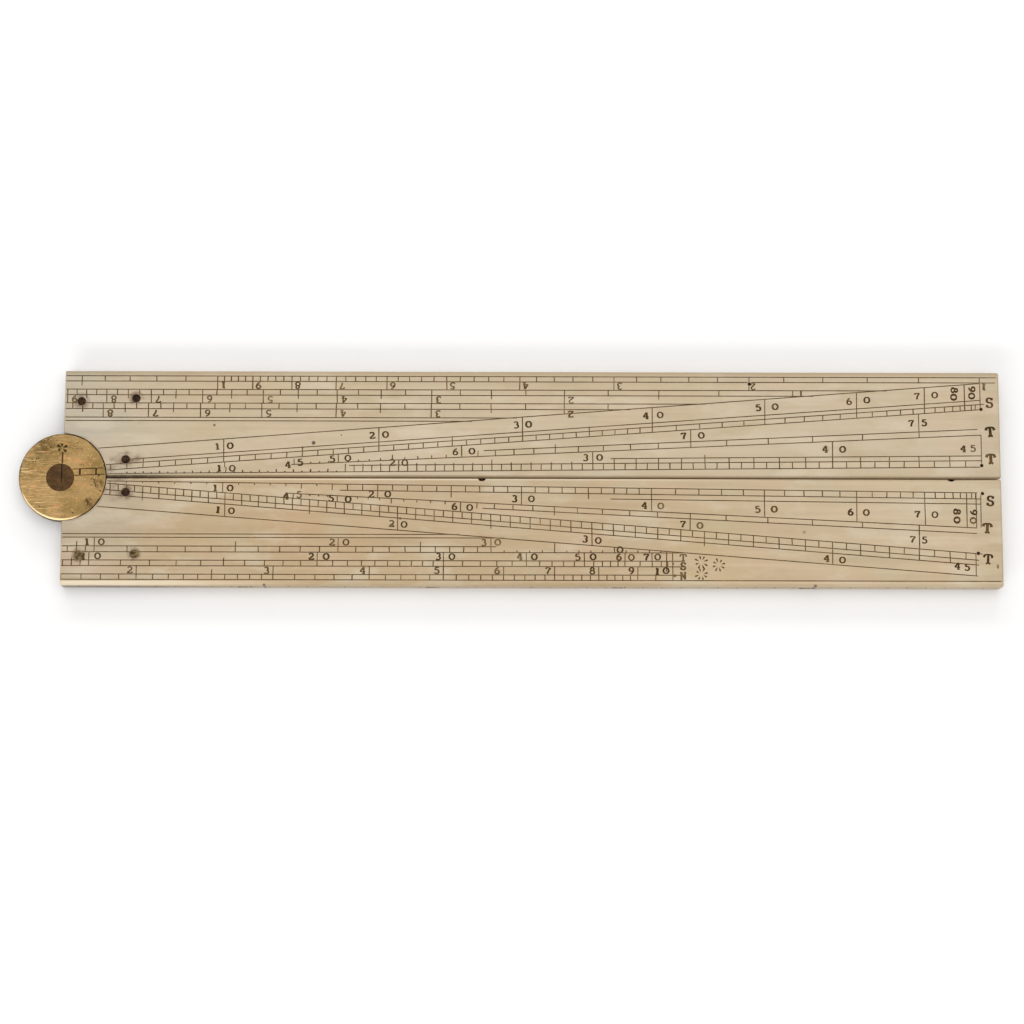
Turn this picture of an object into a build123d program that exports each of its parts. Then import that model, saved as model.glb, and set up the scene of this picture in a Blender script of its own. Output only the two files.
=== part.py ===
from build123d import *
from math import hypot
import os

# A six-inch sector: two flat ivory legs hinged on a brass joint, shown folded shut.
# Millimetres. The origin is on the joint's axis, at the back face that the rule rests on.
# +X runs along the closed legs to their tips, +Y towards the upper leg, +Z out of the front face.

# Legs
LEG_LENGTH = 152.4  # joint axis to tip, so the rule is 304.8 long when it is opened straight
LEG_WIDTH = 17.55
THICKNESS = 4.0
INNER_GAP = 0.2  # between the legs when the rule is shut
END_GAP = 0.1  # between the legs' ends when the rule is straight
OUTER_ROUND = 0.6
INNER_ROUND = 0.3
TIP_ROUND = 0.3
JOINT_END_ROUND = 0.12

# Joint plates: two cheeks that turn with the upper leg, one middle plate with the lower leg
DISC_RADIUS = 7.1
BACK_DISC_RADIUS = 6.85
MIDDLE_DISC_RADIUS = 7.15
MIDDLE_DISC_OFFSET = (-0.15, 0.08)  # from the axis: it was cut a little off centre
DISC_CLEARANCE = 0.1  # radial, between a disc and the notch that it turns in
DISC_CHAMFER = 0.12
CHEEK_THICKNESS = 1.32
PLATE_GAP = 0.04  # between neighbouring plates
CHEEK_LEAF_THICKNESS = 0.5
LEAF_LENGTH = 14.2
LEAF_WIDTH = 14.9
LEAF_CORNER = 1.5

# Centre pin
PIN_RADIUS = 1.6
PIN_HEAD_RADIUS = 2.3
PIN_HEAD_DEPTH = 0.6
FRONT_HEAD_OFFSET = (-0.36, -0.1)  # from the axis: the front head was hammered over to one side
RUNNING_CLEARANCE = 0.05

# Leaf pins, which hold the brass leaves in their kerfs: (x, distance from the joint line)
LEAF_PIN_RADIUS = 0.68
UPPER_LEAF_PINS = [(2.8, 12.5), (11.7, 13.0), (10.2, 2.9)]
LOWER_LEAF_PINS = [(3.0, 12.8), (11.9, 12.6), (10.3, 2.5)]

# Closing dowels, which keep the tips level when the rule is shut: name, x, worn mouth's half-length and depth
DOWELS = [("joint", 68.1, 0.62, 0.47), ("tip", 144.3, 0.6, 0.36)]
DOWEL_RADIUS = 0.45
DOWEL_HOLE_RADIUS = 0.6
DOWEL_PROUD = 0.9  # beyond the upper leg's inner edge
DOWEL_SET = 4.0  # depth in the upper leg
DOWEL_HOLE_DEPTH = 1.2
DOWEL_TIP_ROUND = 0.15

# Wear pins, flush with the front face where the dividers' points are set
WEAR_PIN_RADIUS = 0.29
WEAR_PIN_DEPTH = 1.2
UPPER_WEAR_PINS = [("sine_end", 149.4, 11.5), ("tangent_end", 149.3, 2.2), ("number_two", 111.7, 15.6)]
LOWER_WEAR_PINS = [("sine_end", 149.3, 2.4), ("tangent_end", 148.4, 12.2)]

# Worked out from the above
UPPER = 1
LOWER = -1
INNER_EDGE = INNER_GAP / 2
LEG_START = END_GAP / 2
MIDDLE = THICKNESS / 2
MIDDLE_PLATE_LOW = CHEEK_THICKNESS + PLATE_GAP
MIDDLE_PLATE_HIGH = THICKNESS - MIDDLE_PLATE_LOW
BACK_LEAF_LOW = CHEEK_THICKNESS - CHEEK_LEAF_THICKNESS
FRONT_LEAF_LOW = THICKNESS - CHEEK_THICKNESS
NOTCH_RADIUS = DISC_RADIUS + DISC_CLEARANCE
BACK_NOTCH_RADIUS = BACK_DISC_RADIUS + DISC_CLEARANCE
GROOVE_RADIUS = MIDDLE_DISC_RADIUS + hypot(*MIDDLE_DISC_OFFSET) + DISC_CLEARANCE


def finish(name, piece):
    """Labels a finished piece and writes it to its own file."""
    piece.part.label = name
    export_step(piece.part, f"parts/{name}.step")


def leg_section(side):
    """The leg's cross-section, in the YZ plane, with its long edges rounded."""
    with BuildSketch() as section:
        with Locations((side * (INNER_EDGE + LEG_WIDTH / 2), MIDDLE)):
            Rectangle(LEG_WIDTH, THICKNESS)
        corners = section.vertices().sort_by(lambda corner: abs(corner.X))
        fillet(corners[2:], OUTER_ROUND)
        corners = section.vertices().sort_by(lambda corner: abs(corner.X))
        fillet(corners[:2], INNER_ROUND)
    return section.sketch


def leaf_outline(side):
    """A brass leaf, and the kerf it fills: flush with the leg's end and with its inner edge."""
    with BuildSketch() as outline:
        with Locations(((LEG_START + LEAF_LENGTH) / 2, side * (INNER_EDGE + LEAF_WIDTH) / 2)):
            Rectangle(LEAF_LENGTH - LEG_START, LEAF_WIDTH - INNER_EDGE)
        far_corner = outline.vertices().sort_by(lambda corner: corner.X + side * corner.Y)[-1]
        fillet(far_corner, LEAF_CORNER)
    return outline.sketch


def disc(radius, centre=(0, 0)):
    with BuildSketch() as outline:
        with Locations(centre):
            Circle(radius)
    return outline.sketch


def slab(outline, low, high, mode=Mode.ADD):
    """Adds or cuts, in the open part, a flat slab of the given outline between two heights."""
    with BuildSketch(Plane.XY.offset(low)) as profile:
        add(outline)
    extrude(profile.sketch, amount=high - low, mode=mode)


def leaf_pin_places(side):
    pins = UPPER_LEAF_PINS if side == UPPER else LOWER_LEAF_PINS
    return [(x, side * y) for x, y in pins]


def drill_leaf_pins(side):
    """Cuts the three leaf-pin holes right through the open part."""
    with BuildSketch() as holes:
        with Locations(*leaf_pin_places(side)):
            Circle(LEAF_PIN_RADIUS)
    extrude(holes.sketch, amount=THICKNESS, mode=Mode.SUBTRACT)


def drill_wear_pins(places):
    """Cuts the blind holes of the wear pins into the front face."""
    with BuildSketch(Plane.XY.offset(THICKNESS)) as holes:
        with Locations(*places):
            Circle(WEAR_PIN_RADIUS)
    extrude(holes.sketch, amount=-WEAR_PIN_DEPTH, mode=Mode.SUBTRACT)


def leg_blank(side):
    """Makes, in the open part, the plain leg with its rounded ends and the notch for the discs."""
    with BuildSketch(Plane.YZ.offset(LEG_START)) as end:
        add(leg_section(side))
    extrude(end.sketch, amount=LEG_LENGTH - LEG_START)
    fillet(faces().sort_by(Axis.X)[-1].edges(), TIP_ROUND)
    fillet(faces().sort_by(Axis.X)[0].edges(), JOINT_END_ROUND)
    slab(disc(BACK_NOTCH_RADIUS), 0, CHEEK_THICKNESS, Mode.SUBTRACT)
    slab(disc(NOTCH_RADIUS), CHEEK_THICKNESS, THICKNESS, Mode.SUBTRACT)


os.makedirs("parts", exist_ok=True)

# Upper leg: two thin kerfs for the cheeks' leaves, and a groove that clears the middle disc
with BuildPart() as upper_leg:
    leg_blank(UPPER)
    slab(disc(GROOVE_RADIUS), CHEEK_THICKNESS, FRONT_LEAF_LOW, Mode.SUBTRACT)
    slab(leaf_outline(UPPER), BACK_LEAF_LOW, CHEEK_THICKNESS, Mode.SUBTRACT)
    slab(leaf_outline(UPPER), FRONT_LEAF_LOW, FRONT_LEAF_LOW + CHEEK_LEAF_THICKNESS, Mode.SUBTRACT)
    drill_leaf_pins(UPPER)
    drill_wear_pins([(x, y) for name, x, y in UPPER_WEAR_PINS])
    with BuildSketch(Plane.XZ.offset(-INNER_EDGE)):
        with Locations(*[(x, MIDDLE) for name, x, length, depth in DOWELS]):
            Circle(DOWEL_RADIUS)
    extrude(amount=-DOWEL_SET, mode=Mode.SUBTRACT)
finish("upper_leg", upper_leg)

# Lower leg: one kerf for the middle plate, and the dowels' holes with their worn mouths
with BuildPart() as lower_leg:
    leg_blank(LOWER)
    slab(disc(MIDDLE_DISC_RADIUS, MIDDLE_DISC_OFFSET), MIDDLE_PLATE_LOW, MIDDLE_PLATE_HIGH, Mode.SUBTRACT)
    slab(leaf_outline(LOWER), MIDDLE_PLATE_LOW, MIDDLE_PLATE_HIGH, Mode.SUBTRACT)
    drill_leaf_pins(LOWER)
    drill_wear_pins([(x, -y) for name, x, y in LOWER_WEAR_PINS])
    with BuildSketch(Plane.XZ.offset(INNER_EDGE)):
        with Locations(*[(x, MIDDLE) for name, x, length, depth in DOWELS]):
            Circle(DOWEL_HOLE_RADIUS)
    extrude(amount=DOWEL_HOLE_DEPTH, mode=Mode.SUBTRACT)
    with BuildSketch(Plane.XY.offset(MIDDLE)):
        for name, x, length, depth in DOWELS:
            with Locations((x, -INNER_EDGE)):
                Ellipse(length, depth)
    extrude(amount=MIDDLE, mode=Mode.SUBTRACT)
finish("lower_leg", lower_leg)

# Centre pin: a shank with a countersunk head filed flush at each face
with BuildPart() as centre_pin:
    slab(disc(PIN_RADIUS), 0, THICKNESS)
    with BuildSketch():
        Circle(PIN_HEAD_RADIUS)
    with BuildSketch(Plane.XY.offset(PIN_HEAD_DEPTH)):
        Circle(PIN_RADIUS)
    loft()
    with BuildSketch(Plane.XY.offset(THICKNESS - PIN_HEAD_DEPTH)):
        Circle(PIN_RADIUS)
    with BuildSketch(Plane.XY.offset(THICKNESS)):
        with Locations(FRONT_HEAD_OFFSET):
            Circle(PIN_HEAD_RADIUS)
    loft()
finish("centre_pin", centre_pin)

# Front cheek: the disc seen on the front face, with its leaf in the upper leg
with BuildPart() as front_cheek_plate:
    slab(disc(DISC_RADIUS), FRONT_LEAF_LOW, THICKNESS)
    chamfer(edges().group_by(Axis.Z)[-1], DISC_CHAMFER)
    slab(leaf_outline(UPPER), FRONT_LEAF_LOW, FRONT_LEAF_LOW + CHEEK_LEAF_THICKNESS)
    add(centre_pin.part, mode=Mode.SUBTRACT)
    drill_leaf_pins(UPPER)
finish("front_cheek_plate", front_cheek_plate)

# Back cheek: the same at the back face, on a slightly smaller disc
with BuildPart() as back_cheek_plate:
    slab(disc(BACK_DISC_RADIUS), 0, CHEEK_THICKNESS)
    chamfer(edges().group_by(Axis.Z)[0], DISC_CHAMFER)
    slab(leaf_outline(UPPER), BACK_LEAF_LOW, CHEEK_THICKNESS)
    add(centre_pin.part, mode=Mode.SUBTRACT)
    drill_leaf_pins(UPPER)
finish("back_cheek_plate", back_cheek_plate)

# Middle plate: turns on the centre pin, with its leaf in the lower leg
with BuildPart() as middle_plate:
    slab(disc(MIDDLE_DISC_RADIUS, MIDDLE_DISC_OFFSET), MIDDLE_PLATE_LOW, MIDDLE_PLATE_HIGH)
    slab(leaf_outline(LOWER), MIDDLE_PLATE_LOW, MIDDLE_PLATE_HIGH)
    Hole(PIN_RADIUS + RUNNING_CLEARANCE)
    drill_leaf_pins(LOWER)
finish("middle_plate", middle_plate)

# Leaf pins: three rivets through each leg and its leaves, filed flush with both faces
for leg_name, side in [("upper", UPPER), ("lower", LOWER)]:
    for number, place in enumerate(leaf_pin_places(side), start=1):
        with BuildPart() as leaf_pin:
            with BuildSketch():
                with Locations(place):
                    Circle(LEAF_PIN_RADIUS)
            extrude(amount=THICKNESS)
        finish(f"{leg_name}_leaf_pin_{number}", leaf_pin)

# Closing dowels: pressed into the upper leg, with rounded tips that enter the lower one
for name, x, length, depth in DOWELS:
    with BuildPart() as dowel:
        with BuildSketch(Plane.XZ.offset(DOWEL_PROUD - INNER_EDGE)):
            with Locations((x, MIDDLE)):
                Circle(DOWEL_RADIUS)
        extrude(amount=-(DOWEL_PROUD + DOWEL_SET))
        fillet(edges().group_by(Axis.Y)[0], DOWEL_TIP_ROUND)
    finish(f"closing_dowel_{name}", dowel)

# Wear pins
for leg_name, side, pins in [("upper", UPPER, UPPER_WEAR_PINS), ("lower", LOWER, LOWER_WEAR_PINS)]:
    for name, x, y in pins:
        with BuildPart() as wear_pin:
            with BuildSketch(Plane.XY.offset(THICKNESS)):
                with Locations((x, side * y)):
                    Circle(WEAR_PIN_RADIUS)
            extrude(amount=-WEAR_PIN_DEPTH)
        finish(f"{leg_name}_wear_pin_{name}", wear_pin)
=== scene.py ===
import math
import random

import bmesh
import bpy
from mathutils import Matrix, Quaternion, Vector
from mathutils.geometry import delaunay_2d_cdt


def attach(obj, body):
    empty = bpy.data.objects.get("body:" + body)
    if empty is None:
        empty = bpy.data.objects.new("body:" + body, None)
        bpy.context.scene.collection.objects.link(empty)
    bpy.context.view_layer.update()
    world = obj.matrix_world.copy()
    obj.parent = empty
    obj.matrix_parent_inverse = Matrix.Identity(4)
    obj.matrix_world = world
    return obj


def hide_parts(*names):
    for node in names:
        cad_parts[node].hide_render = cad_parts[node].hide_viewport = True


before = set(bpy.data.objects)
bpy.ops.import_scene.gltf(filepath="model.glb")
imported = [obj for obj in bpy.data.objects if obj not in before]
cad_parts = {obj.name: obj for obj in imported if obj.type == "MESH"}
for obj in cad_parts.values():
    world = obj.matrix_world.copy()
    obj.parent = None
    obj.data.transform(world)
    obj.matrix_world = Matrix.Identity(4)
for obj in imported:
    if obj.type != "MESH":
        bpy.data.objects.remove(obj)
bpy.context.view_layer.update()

MM = 0.001  # the marks below are drawn in millimetres, the scene is in metres

# ---- sizes of the engraving, in millimetres

LINE = 0.15  # width of a ruled line
TICK = 0.17  # width of a division
GROOVE_DEPTH = 0.07
SHARP = math.radians(28)  # a sharper edge than this isn't smoothed over
LEG_LENGTH = 152.4
LEG_BEGIN = 0.22  # the flat of a leg's face, from its joint end
LEG_END = 152.02  # to its tip
DISC = 7.1  # radius of the cheeks' discs
PIN_HEAD = 2.3  # radius of the centre pin's heads
FRONT_HEAD = (-0.36, -0.1)  # middle of its front head
DIGIT = 1.06  # height of a figure
LETTER = 1.6  # height of a line's letter
THICK = 0.34  # a figure's upright strokes
THIN = 0.19  # and its level ones
BROAD = 1.28  # how much the figures 2 to 9 are drawn out sideways

DECADE = 124.3  # length of one decade of the log lines
LOG_END = 99.2  # 10 on N, 90 degrees on S and 45 degrees on T, on the lower leg
UPPER_LOG_SHIFT = 0.35  # the upper leg's log lines lie this much nearer to the joint
UPPER_RADIUS = 149.35  # of the upper leg's lines of sines and of tangents to 45 degrees
LOWER_RADIUS = 149.05  # of the lower leg's
STEEP = 0.25  # the line of tangents from 45 to 75 degrees has a radius this much as long
UPPER_SINE_RUNGS = (0.9, 1.55)  # how far out the second and third lines of the upper leg's sines run
LOWER_SINE_RUNGS = (1.0, 1.84)  # and those of the lower leg's
STEEP_RUNG = 0.94  # and the second line of the tangents from 45 to 75 degrees
HALF_RUNG = 1.06  # and the second line of the tangents to 45 degrees, which the half degrees reach
WHOLE_RUNG = 1.85  # and their third, which the whole degrees reach
WHOLE_FROM = 89  # the ladders beside the joint line have room for a third line from this x on
INCH_LEVELS = (16.7, 15.9, 15.3, 14.7)  # the back's inch rule: its edge, and how far in its parts reach
LEAF_PIN_ROOM = 0.74  # radius of the place that lines leave free for a leaf pin
WEAR_PIN_ROOM = 0.34  # and for a wear pin
DISC_ROOM = DISC + 0.2  # and for the disc

upper_leaf_pins = [(2.8, 12.5), (11.7, 13.0), (10.2, 2.9)]
lower_leaf_pins = [(3.0, -12.8), (11.9, -12.6), (10.3, -2.5)]
upper_wear_pins = [(149.4, 11.5), (149.3, 2.2), (111.7, 15.6)]
lower_wear_pins = [(149.3, -2.4), (148.4, -12.2)]

# Log strips, as distances from the joint line: the ladder's outer and inner lines, and the strip of figures
N_LADDER = (16.75, 15.88)
S_LADDER = (14.52, 13.60)
T_LADDER = (12.25, 11.30)
FIGURES_END = {"N": 14.52, "S": 12.25, "T": 9.88}
LOG_BORDER = 9.32


# ---- figures, drawn as pen strokes in a unit box

def arc(cx, cy, rx, ry, start, end):
    """Points of an elliptic arc, in degrees, anticlockwise when end is more than start."""
    count = max(3, round(abs(end - start) / 24))
    turns = [math.radians(start + (end - start) * i / count) for i in range(count + 1)]
    return [(cx + rx * math.cos(t), cy + ry * math.sin(t)) for t in turns]


def ring(cx, cy, rx, ry):
    return [arc(cx, cy, rx, ry, 90, 270), arc(cx, cy, rx, ry, -90, 90)]


def turned(paths, width):
    """The same strokes upside down."""
    return [[(width - x, 1 - y) for x, y in path] for path in paths]


def drawn_out(width, paths):
    return width * BROAD, [[(x * BROAD, y) for x, y in path] for path in paths]


SIX = [arc(0.62, 0.38, 0.54, 0.6, 105, 185)] + ring(0.32, 0.28, 0.24, 0.28)

GLYPHS = {
    "0": (0.9, ring(0.45, 0.48, 0.4, 0.44)),
    "1": (0.62, [[(0.31, 0), (0.31, 0.97)], [(0.05, 0.04), (0.57, 0.04)], [(0.31, 0.94), (0.07, 0.8)]]),
    "2": (0.64, [arc(0.32, 0.72, 0.24, 0.26, 160, -30) + [(0.06, 0.06)], [(0.05, 0.05), (0.6, 0.05)],
                 [(0.6, 0.02), (0.63, 0.24)]]),
    "3": (0.62, [arc(0.29, 0.75, 0.21, 0.23, 150, -80), arc(0.27, 0.27, 0.26, 0.27, 80, -150)]),
    "4": (0.68, [[(0.44, 1), (0.04, 0.32)], [(0.02, 0.31), (0.66, 0.31)], [(0.46, 1), (0.46, 0)],
                 [(0.28, 0.02), (0.64, 0.02)]]),
    "5": (0.62, [[(0.14, 0.95), (0.54, 0.95)], [(0.15, 0.97), (0.11, 0.54)],
                 arc(0.28, 0.31, 0.27, 0.31, 128, -150)]),
    "6": (0.62, SIX),
    "7": (0.62, [[(0.04, 0.94), (0.58, 0.94)], [(0.58, 0.96), (0.34, 0.5), (0.24, 0)],
                 [(0.05, 0.96), (0.05, 0.74)]]),
    "8": (0.62, ring(0.31, 0.75, 0.19, 0.23) + ring(0.31, 0.27, 0.25, 0.27)),
    "9": (0.62, turned(SIX, 0.64)),
    "S": (0.74, [arc(0.37, 0.74, 0.25, 0.24, 20, 270), arc(0.37, 0.26, 0.27, 0.25, 90, -160),
                 [(0.62, 0.98), (0.62, 0.72)], [(0.1, 0.02), (0.1, 0.3)]]),
    "T": (0.86, [[(0, 0.66), (0.06, 0.86), (0.22, 0.95), (0.62, 0.95), (0.78, 0.88), (0.86, 0.62)],
                 [(0.43, 0.97), (0.43, 0.04)], [(0.2, 0), (0.34, 0.08), (0.52, 0.08), (0.66, 0)]]),
    "N": (0.84, [[(0.16, 0), (0.16, 0.97)], [(0.16, 0.97), (0.66, 0.03)], [(0.66, 0.02), (0.66, 1)],
                 [(0, 0.97), (0.24, 0.97)], [(0.02, 0.03), (0.3, 0.03)], [(0.52, 0.97), (0.82, 0.97)]]),
    "L": (0.66, [[(0.16, 0), (0.16, 1)], [(0.02, 0.97), (0.32, 0.97)], [(0.02, 0.03), (0.6, 0.03)],
                 [(0.6, 0), (0.62, 0.3)]]),
    "C": (0.78, [arc(0.42, 0.5, 0.36, 0.48, 52, 310), [(0.7, 0.98), (0.7, 0.7)]]),
    "P": (0.7, [[(0.16, 0), (0.16, 1)], [(0.02, 0.03), (0.34, 0.03)], [(0.04, 0.97), (0.3, 0.97)],
                arc(0.3, 0.74, 0.3, 0.25, 90, -90)]),
}
for digit in "23456789":
    GLYPHS[digit] = drawn_out(*GLYPHS[digit])


def signed_area(points):
    """Area of a closed outline, more than 0 where its points run anticlockwise."""
    return sum(a[0] * b[1] - b[0] * a[1] for a, b in zip(points, points[1:] + points[:1])) / 2


def drift(x):
    """How far a division at x lies from its true place: every line was stepped off the same uneven master."""
    return 0.25 * math.sin(math.tau * (x - 10) / (130 + 0.2 * max(0, x - 75)))


class Marks:
    """Shapes to be cut into one flat face: convex outlines in millimetres, in the face's own plane.

    Places are given by x and by the distance y from the joint line, which side turns the right way: it is -1
    where the leg lies below that line."""

    def __init__(self, seed, keep_out=(), side=1):
        self.shapes = []
        self.figures = set()  # which of the shapes belong to figures and letters
        self.hand = random.Random(seed)
        self.keep_out = keep_out  # round places that a line stops at: (x, y, radius), in the face's own plane
        self.side = side

    def waver(self, amount):
        """The small error of a hand-held graver."""
        return self.hand.uniform(-amount, amount)

    def outline(self, points):
        """Adds one convex shape, with its points anticlockwise."""
        self.shapes.append(points if signed_area(points) > 0 else points[::-1])

    def pen(self, points, width_at):
        """A stroke along a path, as a chain of four-sided outlines that share their ends."""
        sides = []
        for i, (x, y) in enumerate(points):
            before, after = points[max(i - 1, 0)], points[min(i + 1, len(points) - 1)]
            dx, dy = after[0] - before[0], after[1] - before[1]
            length = math.hypot(dx, dy)
            half = width_at(dx / length, dy / length) / 2
            nx, ny = -dy / length * half, dx / length * half
            sides.append(((x + nx, y + ny), (x - nx, y - ny)))
        for (left, right), (next_left, next_right) in zip(sides, sides[1:]):
            self.outline([right, next_right, next_left, left])

    def line(self, start, end, width=LINE):
        """A straight line, left out where it would run into one of the round places."""
        start, end = ((x, self.side * y) for x, y in (start, end))
        length = math.hypot(end[0] - start[0], end[1] - start[1])
        dx, dy = (end[0] - start[0]) / length, (end[1] - start[1]) / length
        kept = [(0.0, length)]
        for x, y, radius in self.keep_out:
            along = (x - start[0]) * dx + (y - start[1]) * dy
            aside = abs((y - start[1]) * dx - (x - start[0]) * dy) - width / 2
            if aside < radius:
                half = math.sqrt(radius ** 2 - max(aside, 0) ** 2)
                before = [(a, min(b, along - half)) for a, b in kept]
                beyond = [(max(a, along + half), b) for a, b in kept]
                kept = [(a, b) for a, b in before + beyond if b - a > width]
        for a, b in kept:
            ends = [(start[0] + dx * t, start[1] + dy * t) for t in (a, b)]
            self.pen(ends, lambda ux, uy: width)

    def ruled(self, slant, begin, end, lift=0.0):
        """A line along a Slant, lift farther out than it."""
        self.line(*((x, slant.at(x) + lift) for x in (begin, end)))

    def tick(self, x, low, high, width=TICK):
        """A division across the leg, a little long or short as a hand makes it."""
        x += drift(x)
        lean = self.waver(0.03)
        start = (x - lean, low - math.copysign(self.hand.uniform(0, 0.04), high - low))
        end = (x + lean, high + math.copysign(self.hand.uniform(-0.02, 0.07), high - low))
        self.line(start, end, width * self.hand.uniform(0.85, 1.15))

    def figure(self, text, x, y, height=DIGIT, upside_down=False, quarter_turn=False, slope=0.0, weight=0.92,
               faint=False, dark=False):
        """Figures or a letter, punched one at a time, centred on (x, y).

        Faint ones hold as little ink as a ruled line. So does one in five of the rest, but not dark ones."""
        x += drift(x)
        y *= self.side
        first_shape = len(self.shapes)
        widths = [GLYPHS[c][0] for c in text]
        space = 0.14
        at = -(sum(widths) + space * (len(text) - 1)) / 2
        turn = math.atan(self.side * slope)
        turn += (math.pi if upside_down else 0) + (-math.pi / 2 if quarter_turn else 0)
        for c, width in zip(text, widths):
            tilt = turn + self.waver(0.09)
            cos, sin = math.cos(tilt), math.sin(tilt)
            drop = self.waver(0.035)
            depth = weight * self.hand.uniform(0.86, 1.12) * (1.2 if c == "1" else 1.0)
            for path in GLYPHS[c][1]:
                placed = []
                for px, py in path:
                    u, v = (at + px) * height, (py - 0.5 + drop) * height
                    placed.append((x + u * cos - v * sin, y + u * sin + v * cos))
                self.pen(placed, lambda dx, dy: depth * (THIN + (THICK - THIN) * abs(dy * cos - dx * sin)))
            at += width + space
        luck = 0.0 if faint else self.hand.random()
        if dark or luck > 0.2:
            self.figures.update(range(first_shape, len(self.shapes)))

    def stacked(self, text, x, y, apart):
        """A two-figure number that reads down the face."""
        for character, lift in zip(text, (apart / 2, -apart / 2)):
            self.figure(character, x + self.waver(0.1), y + self.side * lift, quarter_turn=True, weight=1.05)

    def parted(self, text, x, y, slope=0.0, left=(0.95, 1.2), right=(1.1, 1.5), sunk=0.0, faint=False):
        """A two-figure number with its division's bar between the figures.

        left and right are the least and most room beside the bar. The first figure can be sunk or faint."""
        before, after = self.hand.uniform(*left), self.hand.uniform(*right)
        self.figure(text[0], x - before, y - before * slope - self.side * sunk, slope=slope, faint=faint)
        self.figure(text[1], x + after, y + after * slope, slope=slope)

    def dot(self, x, y, radius, sides=8):
        """A small round hole, as a many-sided outline."""
        y *= self.side
        spin = self.hand.uniform(0, math.pi)
        self.outline([(x + radius * math.cos(spin + 2 * math.pi * i / sides),
                       y + radius * math.sin(spin + 2 * math.pi * i / sides)) for i in range(sides)])

    def petals(self, x, y, inner, outer, count, width, start=0.0):
        """A flower punch: leaf-shaped petals round a centre."""
        for i in range(count):
            turn = start + 2 * math.pi * i / count + self.waver(0.08)
            self.petal(x, y, inner, outer * self.hand.uniform(0.85, 1.1), width, turn)

    def petal(self, x, y, inner, reach, width, turn):
        """One leaf shape that points away from (x, y), from inner to reach millimetres off it."""
        y *= self.side
        cos, sin = math.cos(turn), math.sin(turn)
        long = reach - inner
        leaf = [(inner, 0), (inner + 0.45 * long, -width * 0.3), (inner + 0.8 * long, -width / 2), (reach, 0),
                (inner + 0.8 * long, width / 2), (inner + 0.45 * long, width * 0.3)]
        self.outline([(x + u * cos - v * sin, y + u * sin + v * cos) for u, v in leaf])


# ---- the front face's lines

def log_lower(logarithm):
    """x of a logarithm on the lower leg, whose log lines run up to 0 at LOG_END."""
    return LOG_END + DECADE * logarithm


def log_upper(logarithm):
    """The same on the upper leg, whose log lines go on from the lower leg's and run the other way."""
    return -log_lower(logarithm) - UPPER_LOG_SHIFT


def log_number(number):
    return math.log10(number) - 2


def log_sine(degrees):
    return math.log10(math.sin(math.radians(degrees)))


def log_tangent(degrees):
    return math.log10(math.tan(math.radians(degrees)))


def sine_at(degrees, radius):
    return radius * math.sin(math.radians(degrees))


def tangent_at(degrees, radius):
    return radius * math.tan(math.radians(degrees))


def steps(start, stop, step):
    """start, start + step and so on up to stop."""
    return [start + step * i for i in range(round((stop - start) / step) + 1)]


def leg_places(leaf_pins, wear_pins):
    """The round places on a leg's face that its lines stop at: the notch for the disc, and the pins."""
    return ([(0, 0, DISC_ROOM)] + [(x, y, LEAF_PIN_ROOM) for x, y in leaf_pins]
            + [(x, y, WEAR_PIN_ROOM) for x, y in wear_pins])


class Slant:
    """A sloping line on a leg's face: its distance from the joint line grows evenly with x."""

    def __init__(self, begin, slope):
        self.begin = begin
        self.slope = slope

    def at(self, x):
        return self.begin + self.slope * x

    def meets(self, y):
        return (y - self.begin) / self.slope


# Each leg's sectoral lines, as distances from the joint line
UPPER_LINES = {
    "tangent": Slant(0.48, 0.0098),
    "steep": Slant(0.42, 0.0456),
    "sine": Slant(0.59, 0.0727),
    "border": Slant(4.30, 0.0769),
}
LOWER_LINES = {
    "sine": Slant(0.57, 0.0116),
    "steep": Slant(0.78, 0.0488),
    "tangent": Slant(0.46, 0.0795),
    "border": Slant(4.40, 0.0775),
}
RIM = 7.3  # the engraving on a leg starts this far from the joint's axis


def log_strip_ends(border, side_end):
    """Where each level line of the log block stops: at the sloping border, or at the leg's tip."""
    levels = [*N_LADDER, *S_LADDER, *T_LADDER, FIGURES_END["T"], LOG_BORDER]
    return {level: min(border.meets(level), side_end) for level in levels}


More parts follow.
